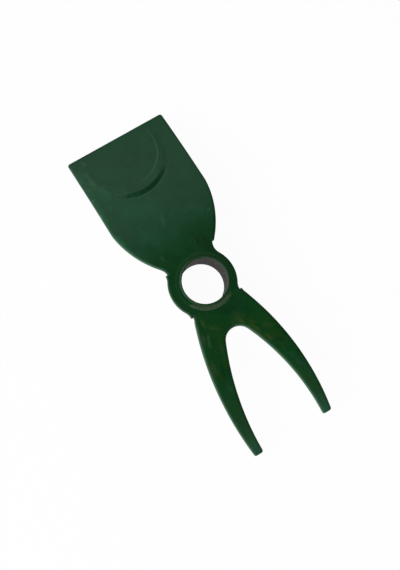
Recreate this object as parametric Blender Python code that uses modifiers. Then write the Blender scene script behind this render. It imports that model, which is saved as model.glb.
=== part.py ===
"""Head of a combination hoe: one stamped steel plate that is blade, boss and two-tine fork, with an eye
collar welded into its boss.

Metres, +Z up. X runs across the head and +Y points to the blade's cutting edge. The eye's axis is the
Z axis, and the head stands on the lower end of its collar, at Z = 0.
"""

import math

import bmesh
import bpy
import numpy as np

# Clearance between pieces that touch on the real head
GAP = 0.0003

# Eye collar, a piece of steel tube
BORE_RADIUS = 0.0176
COLLAR_WALL = 0.0036
COLLAR_LENGTH = 0.0260
COLLAR_PROUD = 0.0007
MOUTH_CHAMFER = 0.0005
COLLAR_EDGE_CHAMFER = 0.0005

# Weld beads between collar and plate. The upper one fills a groove that is bevelled on both sides.
COLLAR_PREPARATION = 0.0019
WELD_PREPARATION = 0.0012
WELD_SET_BACK = 0.00015
WELD_CROWN = 0.0002
LOWER_WELD_LEG = 0.0040
LOWER_WELD_CROWN = 0.0004

# Plate thickness at the eye, at the cutting edge and at the tine tips
PLATE_THICKNESS = 0.0050
BLADE_EDGE_THICKNESS = 0.0020
TIP_THICKNESS = 0.0040
EDGE_ROUNDING = 0.0007

# Side view: the plate is flat round the eye and bows down towards both ends
BEND_CLEARANCE = 0.0015
BLADE_DROP = 0.0125
TINE_DROP = 0.0130

# Boss, whose outline was punched a little to one side of the blade's and the fork's
BOSS_LAND = 0.0051
PUNCH_SHIFT = 0.00175
NECK_INSET = 0.0050
NECK_FILLET_RADIUS = 0.0100

# Blade
BLADE_REACH = 0.1325
BLADE_EDGE_WIDTH = 0.0842
BLADE_SHOULDER_WIDTH = 0.0848
BLADE_SHOULDER_REACH = 0.0680
BLADE_FLARE = math.radians(41.5)
BLADE_CORNER_RADIUS = 0.0020

# Fork
TINE_REACH = 0.1325
FORK_SPREAD = 0.0690
TIP_WIDTH = 0.0070
TIP_CORNER_RADIUS = 0.0018
FORK_FLARE = math.radians(20.5)
CROTCH_REACH = 0.0408
CROTCH_RADIUS = 0.0113
CROTCH_FLARE = math.radians(24.2)

# Where the boss outline meets its neighbours, as angles along the neck fillets away from the eye
RIGHT_STEPS = (math.radians(34.0), math.radians(0.0))
LEFT_STEPS = (math.radians(-2.0), math.radians(5.0))

# D-shaped panel pressed up in the blade, which runs out towards the cutting edge
PANEL_RADIUS = 0.0330
PANEL_BORDER = 0.0080
PANEL_RISE = 0.0009
PANEL_SETBACK = 0.0178
PANEL_OFFSET = -0.0023
PANEL_END_MARGIN = 0.0012
PANEL_SEAT = 0.00005
PANEL_DEPTH = 0.0010

# How finely round shapes are drawn
TURN_STEPS = 96
ARC_STEPS = 12
TINE_STEPS = 24
PANEL_STEPS = 24
NECK_STEPS = 6
CORNER_STEPS = 4
CROWN_STEPS = 4
BOW_STEPS = 11
ROUNDING_STEPS = 2
LEAST_SPACING = 0.00025
SAME_PLACE = 0.000001
FLAT_ANGLE = math.radians(0.1)
UPRIGHT_LIMIT = 0.5
CUT_MARGIN = 0.0010
ROUNDING_SHARE = 0.4

# Sizes that follow from those above
COLLAR_RADIUS = BORE_RADIUS + COLLAR_WALL
EYE_RADIUS = COLLAR_RADIUS + GAP
PLATE_TOP = COLLAR_LENGTH - COLLAR_PROUD
PLATE_BOTTOM = PLATE_TOP - PLATE_THICKNESS
BOSS_RADIUS = EYE_RADIUS + BOSS_LAND
NECK_HALF = BOSS_RADIUS - NECK_INSET
NECK_REACH = math.sqrt((BOSS_RADIUS + NECK_FILLET_RADIUS) ** 2 - (NECK_HALF + NECK_FILLET_RADIUS) ** 2)
BEND_REACH = BOSS_RADIUS + BEND_CLEARANCE

GREEN_PAINT = (0.013, 0.058, 0.024, 1.0)
BARE_STEEL = (0.085, 0.082, 0.080, 1.0)
PAINTED_WELD = (0.040, 0.050, 0.027, 1.0)


def clear_scene():
    for old in list(bpy.data.objects):
        bpy.data.objects.remove(old, do_unlink=True)


def new_collection(name):
    made = bpy.data.collections.new(name)
    bpy.context.scene.collection.children.link(made)
    return made


def new_material(name, colour, roughness, metallic):
    made = bpy.data.materials.new(name)
    made.use_nodes = True
    shader = made.node_tree.nodes["Principled BSDF"]
    shader.inputs["Base Color"].default_value = colour
    shader.inputs["Roughness"].default_value = roughness
    shader.inputs["Metallic"].default_value = metallic
    made.diffuse_color = colour
    return made


def add_object(name, mesh, collection):
    made = bpy.data.objects.new(name, mesh)
    collection.objects.link(made)
    return made


def hide_cutter(cutter):
    cutter.hide_render = True
    cutter.display_type = "WIRE"


def arc(centre, radius, start, end, steps):
    """Points along a circle from one angle to another, both ends included."""
    angles = np.linspace(start, end, steps + 1)
    return [(centre[0] + radius * math.cos(a), centre[1] + radius * math.sin(a)) for a in angles]


def arc_leaving(start, heading, end, steps):
    """Points along the one arc that leaves `start` at angle `heading` and ends at `end`."""
    run = np.subtract(end, start)
    across = np.array((-math.sin(heading), math.cos(heading)))
    radius = run.dot(run) / (2 * run.dot(across))
    centre = np.add(start, radius * across)
    first = math.atan2(start[1] - centre[1], start[0] - centre[0])
    last = math.atan2(end[1] - centre[1], end[0] - centre[0])
    turn = (last - first + math.pi) % (2 * math.pi) - math.pi
    return arc(centre, abs(radius), first, first + turn, steps)


def neck_fillet(start, end):
    """Concave fillet of a neck. Its angle is 0 at the narrowest place and grows away from the eye."""
    centre = (NECK_HALF + NECK_FILLET_RADIUS, NECK_REACH)
    return arc(centre, NECK_FILLET_RADIUS, math.pi - start, math.pi - end, NECK_STEPS)


def boss_side(blade_step, fork_step):
    """One side of the boss outline, from its end near the blade to its end near the fork."""
    lean = math.atan2(NECK_REACH, NECK_HALF + NECK_FILLET_RADIUS)
    upper = neck_fillet(blade_step, -lean)
    round_side = arc((0.0, 0.0), BOSS_RADIUS, lean, -lean, ARC_STEPS)
    lower = [(x, -y) for x, y in neck_fillet(-lean, fork_step)]
    return upper + round_side[1:-1] + lower


def blade_side(step):
    """One side of the blade, from the middle of its cutting edge to its end near the boss."""
    half_edge = BLADE_EDGE_WIDTH / 2
    corner = arc(
        (half_edge - BLADE_CORNER_RADIUS, BLADE_REACH - BLADE_CORNER_RADIUS),
        BLADE_CORNER_RADIUS, math.pi / 2, 0.0, CORNER_STEPS,
    )
    fillet = neck_fillet(BLADE_FLARE, step)
    shoulder = (BLADE_SHOULDER_WIDTH / 2, BLADE_SHOULDER_REACH)
    flank = arc_leaving(fillet[0], math.pi / 2 - BLADE_FLARE, shoulder, ARC_STEPS)
    return corner + flank[:0:-1] + fillet


def fork_side(step):
    """One side of the fork, from its end near the boss, round the tine, to the middle of the crotch."""
    half_spread = FORK_SPREAD / 2
    inner_tip = half_spread - TIP_WIDTH
    corner_y = TIP_CORNER_RADIUS - TINE_REACH
    fillet = [(x, -y) for x, y in neck_fillet(step, FORK_FLARE)]
    outer = arc_leaving(fillet[-1], FORK_FLARE - math.pi / 2, (half_spread, corner_y), TINE_STEPS)
    outer_corner = arc(
        (half_spread - TIP_CORNER_RADIUS, corner_y), TIP_CORNER_RADIUS, 0.0, -math.pi / 2, CORNER_STEPS
    )
    inner_corner = arc(
        (inner_tip + TIP_CORNER_RADIUS, corner_y), TIP_CORNER_RADIUS, -math.pi / 2, -math.pi, CORNER_STEPS
    )
    crotch = arc((0.0, -CROTCH_REACH - CROTCH_RADIUS), CROTCH_RADIUS, CROTCH_FLARE, math.pi / 2, ARC_STEPS)
    inner = arc_leaving(crotch[0], CROTCH_FLARE - math.pi / 2, (inner_tip, corner_y), TINE_STEPS)
    return fillet + outer[1:-1] + outer_corner + inner_corner + inner[-2::-1] + crotch[1:]


def plate_outline():
    """The whole outline: the right side, then the left side back up, with the boss part shifted."""
    sides = []
    for hand, (blade_step, fork_step) in ((1, RIGHT_STEPS), (-1, LEFT_STEPS)):
        blade = [(hand * x, y) for x, y in blade_side(blade_step)]
        boss = [(hand * x - PUNCH_SHIFT, y) for x, y in boss_side(blade_step, fork_step)]
        fork = [(hand * x, y) for x, y in fork_side(fork_step)]
        sides.append(blade + boss + fork)
    right, left = sides
    return right + left[-2::-1]


def arc_drop(distance, length, drop):
    """Fall of an arc that starts level and has fallen by `drop` at `length`."""
    radius = (length**2 + drop**2) / (2 * drop)
    return radius - math.sqrt(radius**2 - distance**2)


def side_profile():
    """Stations along Y with the heights of the plate's top and bottom, from tine tips to cutting edge."""
    rows = []
    for way, reach, drop, thickness in (
        (-1, TINE_REACH, TINE_DROP, TIP_THICKNESS),
        (1, BLADE_REACH, BLADE_DROP, BLADE_EDGE_THICKNESS),
    ):
        length = reach - BEND_REACH
        for share in np.linspace(0.0, 1.0, BOW_STEPS + 1):
            top = PLATE_TOP - arc_drop(share * length, length, drop)
            here = PLATE_THICKNESS + share * (thickness - PLATE_THICKNESS)
            rows.append((way * (BEND_REACH + share * length), top, top - here))
    return np.array(sorted(rows)).T


def flat_solid(name, points, thickness, collection):
    """A filled outline with thickness, made as a 2D curve and turned into a closed mesh."""
    curve = bpy.data.curves.new(name, "CURVE")
    curve.dimensions = "2D"
    curve.fill_mode = "BOTH"
    curve.extrude = thickness / 2
    spline = curve.splines.new("POLY")
    spline.points.add(len(points) - 1)
    for point, (x, y) in zip(spline.points, points):
        point.co = (x, y, 0.0, 1.0)
    spline.use_cyclic_u = True
    guide = add_object(name + "_curve", curve, collection)
    depsgraph = bpy.context.evaluated_depsgraph_get()
    mesh = bpy.data.meshes.new_from_object(guide.evaluated_get(depsgraph))
    mesh.name = name
    bpy.data.objects.remove(guide, do_unlink=True)
    mesh.materials.clear()
    made = bmesh.new()
    made.from_mesh(mesh)
    bmesh.ops.remove_doubles(made, verts=made.verts, dist=SAME_PLACE)
    return mesh, made


def cut_at_stations(solid, stations):
    for y in stations:
        everything = solid.verts[:] + solid.edges[:] + solid.faces[:]
        bmesh.ops.bisect_plane(
            solid, geom=everything, dist=SAME_PLACE, plane_co=(0, y, 0), plane_no=(0, 1, 0)
        )


def join_flat_faces(solid):
    bmesh.ops.dissolve_limit(
        solid, angle_limit=FLAT_ANGLE, verts=solid.verts, edges=solid.edges, delimit={"NORMAL"}
    )


def mark_rim_edges(solid):
    """Gives bevel weight to the edges where the top and the bottom meet the plate's side."""
    weight = solid.edges.layers.float.new("bevel_weight_edge")
    solid.normal_update()
    for edge in solid.edges:
        upright = sorted(abs(face.normal.z) for face in edge.link_faces)
        if upright[0] < UPRIGHT_LIMIT < upright[-1]:
            edge[weight] = 1.0


def turned(name, profile, closed, collection):
    """A solid of revolution about Z. The profile of (radius, height) runs down its outer side."""
    mesh = bpy.data.meshes.new(name)
    edges = [(i, i + 1) for i in range(len(profile) - 1)]
    if closed:
        edges.append((len(profile) - 1, 0))
    mesh.from_pydata([(radius, 0.0, height) for radius, height in profile], edges, [])
    made = add_object(name, mesh, collection)
    screw = made.modifiers.new("turn", "SCREW")
    screw.axis = "Z"
    screw.steps = TURN_STEPS
    screw.render_steps = TURN_STEPS
    screw.use_merge_vertices = True
    screw.merge_threshold = SAME_PLACE
    screw.use_smooth_shade = True
    return made


def add_boolean(target, name, operation, other):
    cut = target.modifiers.new(name, "BOOLEAN")
    cut.operation = operation
    cut.object = other
    cut.solver = "EXACT"


def eye_cutter(cutters):
    """Cuts the collar's hole through the boss, opened out at the top for the upper weld."""
    high = CUT_MARGIN + PLATE_THICKNESS / 2
    surface = PLATE_THICKNESS / 2
    profile = [
        (0.0, high),
        (EYE_RADIUS + WELD_PREPARATION + CUT_MARGIN, high),
        (EYE_RADIUS, surface - WELD_PREPARATION),
        (EYE_RADIUS, -high),
        (0.0, -high),
    ]
    cutter = turned("eye_cutter", profile, False, cutters)
    cutter.location = (0.0, 0.0, PLATE_TOP - surface)
    hide_cutter(cutter)
    return cutter


def blade_panel(stations, tops, cutters):
    """The D-shaped rise that the blade's panel adds to the plate's top face."""
    centre = (PANEL_OFFSET, BLADE_REACH - PANEL_SETBACK)
    end = BLADE_REACH - PANEL_END_MARGIN
    outline = arc(centre, PANEL_RADIUS, 0.0, -math.pi, PANEL_STEPS)
    outline += [(centre[0] - PANEL_RADIUS, end), (centre[0] + PANEL_RADIUS, end)]
    mesh, solid = flat_solid("blade_panel", outline, PANEL_DEPTH, cutters)
    join_flat_faces(solid)
    crest = max(solid.faces, key=lambda face: face.calc_center_median().z)
    rim = set(crest.verts)
    bmesh.ops.inset_region(solid, faces=[crest], thickness=PANEL_BORDER, use_even_offset=True)
    apex = centre[1] - PANEL_RADIUS + PANEL_BORDER
    for vert in solid.verts:
        if vert in rim:
            vert.co.z = -PANEL_SEAT
        elif vert.co.z > 0.0:
            vert.co.z = PANEL_RISE * (BLADE_REACH - vert.co.y) / (BLADE_REACH - apex)
        else:
            vert.co.z = -PANEL_DEPTH
    cut_at_stations(solid, stations[1:-1])
    for vert in solid.verts:
        vert.co.z += float(np.interp(vert.co.y, stations, tops))
    solid.to_mesh(mesh)
    solid.free()
    panel = add_object("blade_panel", mesh, cutters)
    hide_cutter(panel)
    return panel


def head_plate(parts, cutters):
    """Blade, boss and fork, cut from one outline, bowed, rounded at its edges and bored for the collar."""
    stations, tops, bottoms = side_profile()
    mesh, solid = flat_solid("head_plate", plate_outline(), PLATE_THICKNESS, cutters)
    cut_at_stations(solid, stations[1:-1])
    for vert in solid.verts:
        heights = tops if vert.co.z > 0.0 else bottoms
        vert.co.z = float(np.interp(vert.co.y, stations, heights))
    bmesh.ops.remove_doubles(solid, verts=solid.verts, dist=LEAST_SPACING)
    join_flat_faces(solid)
    mark_rim_edges(solid)
    solid.to_mesh(mesh)
    solid.free()
    plate = add_object("head_plate", mesh, parts)
    rounding = plate.modifiers.new("edge_rounding", "BEVEL")
    rounding.limit_method = "WEIGHT"
    thinnest = min(BLADE_EDGE_THICKNESS, TIP_THICKNESS, PLATE_THICKNESS)
    rounding.width = min(EDGE_ROUNDING, ROUNDING_SHARE * thinnest)
    rounding.segments = ROUNDING_STEPS
    rounding.use_clamp_overlap = False
    add_boolean(plate, "blade_panel", "UNION", blade_panel(stations, tops, cutters))
    add_boolean(plate, "eye", "DIFFERENCE", eye_cutter(cutters))
    triangles = plate.modifiers.new("even_triangles", "TRIANGULATE")
    triangles.quad_method = "BEAUTY"
    triangles.ngon_method = "BEAUTY"
    plate.data.materials.append(new_material("green_paint", GREEN_PAINT, 0.32, 0.0))
    return plate


def eye_collar(parts):
    """Straight tube that stands a little proud of the plate, bevelled outside its mouth for the weld."""
    edge = COLLAR_EDGE_CHAMFER
    profile = [
        (BORE_RADIUS + MOUTH_CHAMFER, COLLAR_LENGTH),
        (COLLAR_RADIUS - COLLAR_PREPARATION, COLLAR_LENGTH),
        (COLLAR_RADIUS, COLLAR_LENGTH - COLLAR_PREPARATION),
        (COLLAR_RADIUS, edge),
        (COLLAR_RADIUS - edge, 0.0),
        (BORE_RADIUS + edge, 0.0),
        (BORE_RADIUS, edge),
        (BORE_RADIUS, COLLAR_LENGTH - MOUTH_CHAMFER),
    ]
    collar = turned("eye_collar", profile, True, parts)
    collar.data.materials.append(new_material("bare_steel", BARE_STEEL, 0.5, 0.8))
    return collar


def crowned(start, end, crown):
    """Points from start to end, both left out, raised between them to the left of the way."""
    run = np.subtract(end, start)
    across = np.array((-run[1], run[0])) / np.hypot(*run)
    shares = np.linspace(0.0, 1.0, CROWN_STEPS + 1)[1:-1]
    return [tuple(start + share * run + 4 * crown * share * (1 - share) * across) for share in shares]


def upper_weld_bead(parts, material):
    """Fills the groove between collar and plate, dressed to slope from the mouth down to the plate."""
    slope_gap = GAP * math.sqrt(2.0)
    collar_side = COLLAR_RADIUS + COLLAR_PROUD - COLLAR_PREPARATION + slope_gap
    plate_side = EYE_RADIUS + WELD_PREPARATION - slope_gap
    inner_height = COLLAR_PROUD - WELD_SET_BACK
    inner_top = (collar_side - inner_height, inner_height)
    outer_top = (plate_side, 0.0)
    root = ((collar_side + plate_side) / 2, (collar_side - plate_side) / 2)
    profile = [inner_top] + crowned(inner_top, outer_top, WELD_CROWN) + [outer_top, root]
    bead = turned("upper_weld_bead", profile, True, parts)
    bead.location = (0.0, 0.0, PLATE_TOP)
    bead.data.materials.append(material)
    return bead


def lower_weld_bead(parts, material):
    """Fillet weld in the corner between the plate's underside and the collar."""
    corner = (EYE_RADIUS, 0.0)
    toe = (EYE_RADIUS + LOWER_WELD_LEG, 0.0)
    foot = (EYE_RADIUS, -LOWER_WELD_LEG)
    profile = [corner, toe] + crowned(toe, foot, LOWER_WELD_CROWN) + [foot]
    bead = turned("lower_weld_bead", profile, True, parts)
    bead.location = (0.0, 0.0, PLATE_BOTTOM - GAP)
    bead.data.materials.append(material)
    return bead


def main():
    clear_scene()
    parts = new_collection("combination_hoe_head")
    cutters = new_collection("cutters")
    centre = add_object("eye_axis", None, parts)
    weld = new_material("painted_weld", PAINTED_WELD, 0.55, 0.0)
    pieces = [
        head_plate(parts, cutters),
        eye_collar(parts),
        upper_weld_bead(parts, weld),
        lower_weld_bead(parts, weld),
    ]
    for piece in pieces:
        piece.parent = centre


main()
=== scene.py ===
# %% [markdown]
# # The head of a combination hoe
# The real object is a flat steel garden tool head: a wide blade at one end, two tines at the other, and a
# round eye between them for a wooden handle. One stamped plate makes blade, boss and tines, and a short
# tube is welded into the boss as the eye.
#
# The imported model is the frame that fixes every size. This script dresses it: each of its pieces gets a
# finer mesh in the same place, with green paint, bare steel and weld made of nodes.

# %% Load the frame
import math
from collections import Counter

import bpy
import numpy as np
from mathutils import Matrix, Vector, noise


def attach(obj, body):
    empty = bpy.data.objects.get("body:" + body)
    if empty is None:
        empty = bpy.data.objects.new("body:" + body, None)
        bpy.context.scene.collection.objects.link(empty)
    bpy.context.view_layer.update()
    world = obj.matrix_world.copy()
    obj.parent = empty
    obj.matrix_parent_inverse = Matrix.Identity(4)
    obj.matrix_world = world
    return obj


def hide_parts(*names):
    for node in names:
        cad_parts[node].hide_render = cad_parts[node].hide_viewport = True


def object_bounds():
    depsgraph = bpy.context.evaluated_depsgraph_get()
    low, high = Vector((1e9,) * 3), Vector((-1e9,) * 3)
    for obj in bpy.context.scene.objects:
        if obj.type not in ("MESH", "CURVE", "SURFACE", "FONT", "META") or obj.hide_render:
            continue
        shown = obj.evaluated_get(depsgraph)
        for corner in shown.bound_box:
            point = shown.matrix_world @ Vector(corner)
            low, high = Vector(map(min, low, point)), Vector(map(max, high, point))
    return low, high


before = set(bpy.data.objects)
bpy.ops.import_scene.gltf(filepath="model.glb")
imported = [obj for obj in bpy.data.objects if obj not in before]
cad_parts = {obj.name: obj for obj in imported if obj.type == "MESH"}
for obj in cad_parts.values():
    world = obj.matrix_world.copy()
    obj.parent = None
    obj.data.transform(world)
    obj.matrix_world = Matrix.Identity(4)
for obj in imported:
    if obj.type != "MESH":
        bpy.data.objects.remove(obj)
MM = 0.001
cad_low, cad_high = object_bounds()
print("The CAD model is", [round(1000 * size, 1) for size in cad_high - cad_low], "mm in X, Y and Z")

# %% [markdown]
# ## The camera
# The tool was photographed from almost straight above its painted face, a little towards its left and its
# tine tips, and turned so that the blade points up and to the left. A long lens keeps its two ends nearly
# the same scale. The eye's two rims show the direction, because a tube looks round only along its axis.
# Its direction, its roll and its distance from the eye's mouth are numbers, so each run gives the same view.

# %% Camera
MOUTH = Vector((0.0, 0.0, cad_high.z))
LOOKING = Vector((0.1827, 0.09691, -0.97838)).normalized()
ROLL = -0.55046
DISTANCE = 0.91141
LENS = 76.16
SHIFT = (-0.00876, -0.00752)

across = LOOKING.cross(Vector((0, 1, 0))).normalized()
along = across.cross(LOOKING)
IMAGE_RIGHT = math.cos(ROLL) * across + math.sin(ROLL) * along
IMAGE_UP = math.cos(ROLL) * along - math.sin(ROLL) * across
turn = Matrix((IMAGE_RIGHT, IMAGE_UP, -LOOKING)).transposed().to_euler()
bpy.ops.object.camera_add(location=MOUTH - DISTANCE * LOOKING, rotation=turn)
camera = bpy.context.object
camera.name = "camera"
camera.data.lens = LENS
camera.data.shift_x, camera.data.shift_y = SHIFT
camera.data.clip_start = 0.01
bpy.context.scene.camera = camera
print("The camera stands at", [round(value, 3) for value in camera.location])

# %% [markdown]
# ## The studio
# Glossy dark paint shows the room more than it shows its own colour. The flat boss is almost black-green,
# so what it mirrors, a little right of straight overhead, is dark. The blade and the tine tips bow away from
# the boss, mirror other parts of the room, and are paler. So the room is a pale tent, brightest on the
# picture's left and dim beyond its right and upper edges, with one dark board hung overhead and a bright
# band along the horizon. The world gives that from the direction alone, and to the camera itself it is plain
# white. One big soft lamp on the left gives shape. It is hidden from reflections, because glossy paint would
# show it as a bright square.


# %% Node helpers
def is_socket(value):
    return isinstance(value, bpy.types.NodeSocket)


def link(start, end):
    start.id_data.links.new(start, end)


def add_node(near, kind, **settings):
    """Adds a node to a tree, or to the tree that a node or a socket is in."""
    node = near.id_data.nodes.new(kind)
    for name, value in settings.items():
        setattr(node, name, value)
    return node


def put(socket, value):
    """Links a socket, or sets its own value."""
    if is_socket(value):
        link(value, socket)
    else:
        socket.default_value = value


def put_all(node, values):
    """The same for several sockets of one node, by name or number."""
    for name, value in values.items():
        put(node.inputs[name], value)


def map_range(value, low, high, to_low=0.0, to_high=1.0, smooth=True):
    node = add_node(value, "ShaderNodeMapRange", interpolation_type="SMOOTHSTEP" if smooth else "LINEAR")
    put_all(node, {"Value": value, "From Min": low, "From Max": high, "To Min": to_low, "To Max": to_high})
    return node.outputs["Result"]


def maths(operation, first, second=0.0):
    node = add_node(first if is_socket(first) else second, "ShaderNodeMath", operation=operation)
    put_all(node, {0: first, 1: second})
    return node.outputs[0]


def times(first, second):
    return maths("MULTIPLY", first, second)


def rest_of(share):
    """What a share leaves of the whole."""
    return maths("SUBTRACT", 1.0, share)


def vector_maths(operation, first, second=(0.0, 0.0, 0.0)):
    node = add_node(first, "ShaderNodeVectorMath", operation=operation)
    put_all(node, {0: first, 1: second})
    return node


def along_axis(place, axis):
    """How far a place or a direction reaches along an axis."""
    return vector_maths("DOT_PRODUCT", place, axis).outputs["Value"]


def mixed(kind, share, under, over):
    """Mixes two values or colours, all of the first at share 0 and all of the second at share 1."""
    node = add_node(share, "ShaderNodeMix", data_type=kind)
    put_all(node, {"Factor": share, "A": under, "B": over})
    return node.outputs["Result"]


X_AXIS, Y_AXIS, Z_AXIS = Matrix.Identity(3)
WHITE = (1.0, 1.0, 1.0, 1.0)
print("Ready to make nodes")

# %% World
# A pair says where a change begins and ends. The board's three are low end, high end and softness.
TENT, LEFT_SIDE, LEFT_FULL = 0.38, 1.0, 0.45
DIM_SIDES, RIGHT_FALL, TOP_FALL = 0.12, (0.48, 0.75), (0.66, 0.9)
BOARD, BOARD_IN_X, BOARD_IN_Y = 0.0, (-0.12, 0.75, 0.08), (-0.33, 0.235, 0.07)
HORIZON, HORIZON_HEIGHT, HORIZON_SOFT = 0.95, 0.22, 0.06
BEHIND_ALL = 1.0

bpy.context.scene.view_settings.view_transform = "Standard"
world = bpy.data.worlds.new("studio_room")
world.use_nodes = True
bpy.context.scene.world = world
room = world.node_tree
direction = add_node(room, "ShaderNodeTexCoord").outputs["Generated"]


def in_band(axis, low, high, soft):
    """1 where the direction's share along an axis is between two values, with soft ends."""
    share = along_axis(direction, axis)
    rising = map_range(share, low - soft, low + soft)
    falling = map_range(share, high - soft, high + soft, 1.0, 0.0)
    return times(rising, falling)


level = map_range(along_axis(direction, -IMAGE_RIGHT), 0.0, LEFT_FULL, TENT, LEFT_SIDE, False)
for way, fall in ((IMAGE_RIGHT, RIGHT_FALL), (IMAGE_UP, TOP_FALL)):
    level = times(level, map_range(along_axis(direction, way), *fall, 1.0, DIM_SIDES))
board = times(in_band(X_AXIS, *BOARD_IN_X), in_band(Y_AXIS, *BOARD_IN_Y))
height = along_axis(direction, Z_AXIS)
near_horizon = map_range(height, HORIZON_HEIGHT - HORIZON_SOFT, HORIZON_HEIGHT, 1.0, 0.0)
to_camera = add_node(room, "ShaderNodeLightPath").outputs["Is Camera Ray"]
for share, value in ((board, BOARD), (near_horizon, HORIZON), (to_camera, BEHIND_ALL)):
    level = mixed("FLOAT", share, level, value)
put_all(room.nodes["Background"], {"Strength": level, "Color": WHITE})
print("World made, with", len(room.nodes), "nodes")

# %% Lamp
LAMP_SIZE = 1.3
LAMP_POWER = 30.0
LAMP_DISTANCE = 1.8
lamp_way = (-0.85 * IMAGE_RIGHT - 0.35 * IMAGE_UP + 0.7 * Z_AXIS).normalized()
lamp_turn = lamp_way.to_track_quat("Z", "Y").to_euler()
bpy.ops.object.light_add(type="AREA", location=LAMP_DISTANCE * lamp_way, rotation=lamp_turn)
lamp = bpy.context.object
lamp.name = "soft_lamp"
lamp.data.shape = "SQUARE"
lamp.data.size = LAMP_SIZE
lamp.data.energy = LAMP_POWER
lamp.visible_glossy = False
print("Lamp at", [round(value, 2) for value in lamp.location])

# %% [markdown]
# ## The floor
# The photograph's background is plain white. A white floor would render a little grey where the tool
# shades it, so for the camera, and for reflections, most of its brightness is its own. The rest still
# takes light, which keeps the tool's shadow.

# %% Floor
FLOOR_SIZE, FLOOR_DROP = 40.0, 0.0002
PAPER_WHITE = (0.92, 0.92, 0.92, 1.0)
FLOOR_OWN_SHARE = 0.96
bpy.ops.mesh.primitive_plane_add(size=FLOOR_SIZE, location=(0, 0, -FLOOR_DROP))
floor = bpy.context.object
floor.name = "floor"
floor_paper = bpy.data.materials.new("white_paper")
floor_paper.use_nodes = True
paper = floor_paper.node_tree
plain = paper.nodes["Principled BSDF"]
put_all(plain, {"Base Color": PAPER_WHITE, "Roughness": 1.0, "Specular IOR Level": 0.0})
glow = add_node(paper, "ShaderNodeEmission")
put_all(glow, {"Color": WHITE})
rays = add_node(paper, "ShaderNodeLightPath").outputs
seen = maths("MAXIMUM", rays["Is Camera Ray"], rays["Is Glossy Ray"])
seen = maths("MAXIMUM", seen, rays["Is Transmission Ray"])
mix = add_node(paper, "ShaderNodeMixShader")
put_all(mix, {0: times(seen, FLOOR_OWN_SHARE), 1: plain.outputs["BSDF"], 2: glow.outputs["Emission"]})
put_all(paper.nodes["Material Output"], {"Surface": mix.outputs["Shader"]})
floor.data.materials.append(floor_paper)
print("Floor made")

# %% [markdown]
# ## The plate's outline
# The plate was punched from sheet, so its shape is one closed outline. Its sides are a few arcs that run
# into each other: a blade that swells from the neck, a round boss, and tines that curve out and back in.
# The boss was punched in a second stroke, a little to one side. That left a small step at each of the four
# places where its outline meets the others. The sizes are those of the CAD model.

# %% Sizes of the plate
PLATE_TOP = 0.0253
PLATE_THICKNESS = 0.005
BLADE_EDGE_THICKNESS = 0.002
TIP_THICKNESS = 0.004
EDGE_ROUNDING = 0.00055
BOSS_RADIUS = 0.0266
PUNCH_SHIFT = 0.00175
NECK_HALF = 0.0216
NECK_FILLET = 0.01
NECK_REACH = math.sqrt((BOSS_RADIUS + NECK_FILLET) ** 2 - (NECK_HALF + NECK_FILLET) ** 2)
BEND_REACH = 0.0281

BLADE_REACH = 0.1325
BLADE_DROP = 0.0125
BLADE_EDGE_HALF = 0.0421
BLADE_SHOULDER = (0.0424, 0.068)
BLADE_FLARE = math.radians(41.5)
BLADE_CORNER = 0.002

TINE_REACH = 0.1325
TINE_DROP = 0.013
FORK_HALF = 0.0345
TIP_WIDTH = 0.007
TIP_CORNER = 0.0018
FORK_FLARE = math.radians(20.5)
CROTCH_REACH = 0.0408
CROTCH_RADIUS = 0.0113
CROTCH_FLARE = math.radians(24.2)

# For the right and the left side: the angles on the neck's fillets at which blade and fork meet the boss.
STEPS = {1: (math.radians(34.0), math.radians(0.0)), -1: (math.radians(-2.0), math.radians(5.0))}
POINT_SPACING = 0.0009
print("The plate reaches from", -TINE_REACH, "to", BLADE_REACH, "m along Y")


# %% Arcs
def arc(centre, radius, start, end):
    """Points along a circle from one angle to another, about one spacing apart, both ends included."""
    steps = max(3, math.ceil(abs(end - start) * radius / POINT_SPACING))
    angles = np.linspace(start, end, steps + 1)
    return [(centre[0] + radius * math.cos(a), centre[1] + radius * math.sin(a)) for a in angles]


def arc_leaving(start, heading, end):
    """Points along the one arc that leaves `start` at angle `heading` and ends at `end`."""
    run = np.subtract(end, start)
    sideways = np.array((-math.sin(heading), math.cos(heading)))
    radius = run.dot(run) / (2 * run.dot(sideways))
    centre = np.add(start, radius * sideways)
    first = math.atan2(start[1] - centre[1], start[0] - centre[0])
    last = math.atan2(end[1] - centre[1], end[0] - centre[0])
    turn = (last - first + math.pi) % (2 * math.pi) - math.pi
    return arc(centre, abs(radius), first, first + turn)


def neck_fillet(start, end):
    centre = (NECK_HALF + NECK_FILLET, NECK_REACH)
    return arc(centre, NECK_FILLET, math.pi - start, math.pi - end)


print("A quarter circle of 10 mm takes", len(arc((0, 0), 0.010, 0, math.pi / 2)), "points")


# %% Sides of boss, blade and fork
def boss_side(blade_step, fork_step):
    lean = math.atan2(NECK_REACH, NECK_HALF + NECK_FILLET)
    upper = neck_fillet(blade_step, -lean)
    lower = [(x, -y) for x, y in neck_fillet(-lean, fork_step)]
    return upper + arc((0.0, 0.0), BOSS_RADIUS, lean, -lean)[1:-1] + lower


def blade_side(step):
    centre = (BLADE_EDGE_HALF - BLADE_CORNER, BLADE_REACH - BLADE_CORNER)
    corner = arc(centre, BLADE_CORNER, math.pi / 2, 0.0)
    fillet = neck_fillet(BLADE_FLARE, step)
    flank = arc_leaving(fillet[0], math.pi / 2 - BLADE_FLARE, BLADE_SHOULDER)
    straight = spread(corner[-1], BLADE_SHOULDER)
    return spread((0.0, BLADE_REACH), corner[0])[:-1] + corner[:-1] + straight + flank[-2:0:-1] + fillet


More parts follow.
